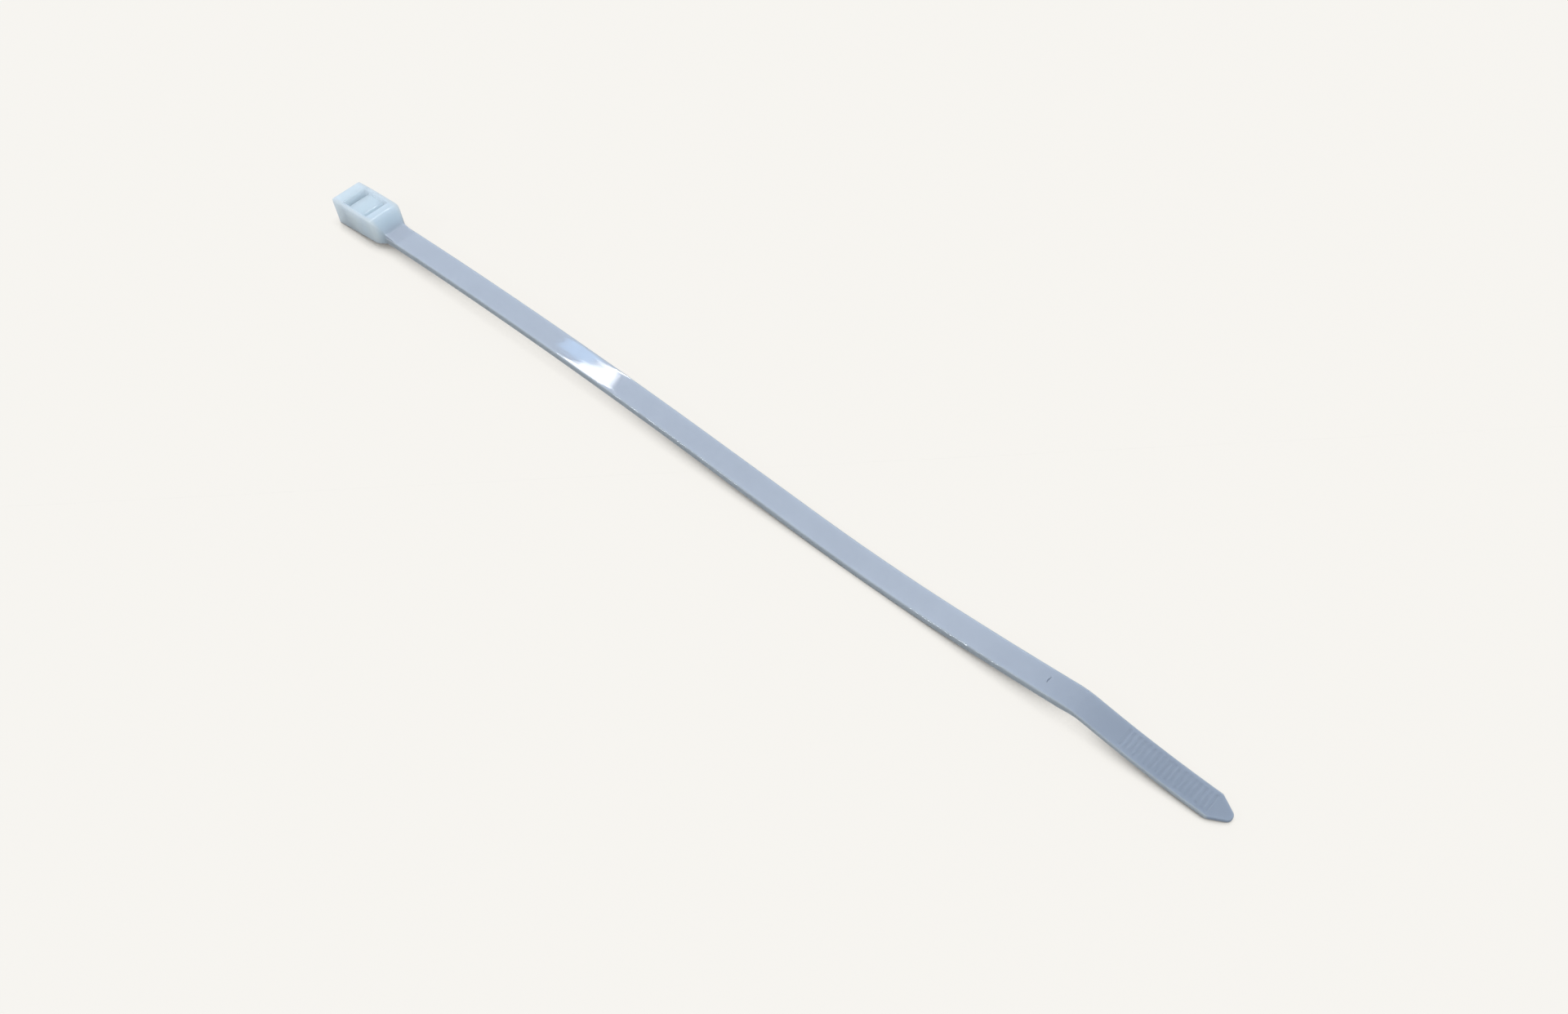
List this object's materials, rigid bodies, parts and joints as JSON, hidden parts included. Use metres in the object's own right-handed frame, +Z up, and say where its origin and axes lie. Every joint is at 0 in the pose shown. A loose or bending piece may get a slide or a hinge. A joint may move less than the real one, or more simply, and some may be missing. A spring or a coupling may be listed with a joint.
{
  "type": "cable tie",
  "caption": "Natural nylon cable tie lying flat: a box head with a through slot and a ratchet pawl, and a long toothed strap with a thin pointed tail.",
  "frame": {"origin": "on the surface the tie lies on, under the middle of its overall length and on its centre line", "axes": "+X from the head to the tail along the strap, +Y across the strap, +Z up out of the smooth side"},
  "size_m": [0.2, 0.007, 0.0062],
  "materials": {
    "natural_nylon": "smooth glossy moulded nylon, undyed and slightly translucent, paler where it is thick"
  },
  "bodies": {
    "root": {"cable_tie": "natural_nylon"}
  },
  "joints": []
}
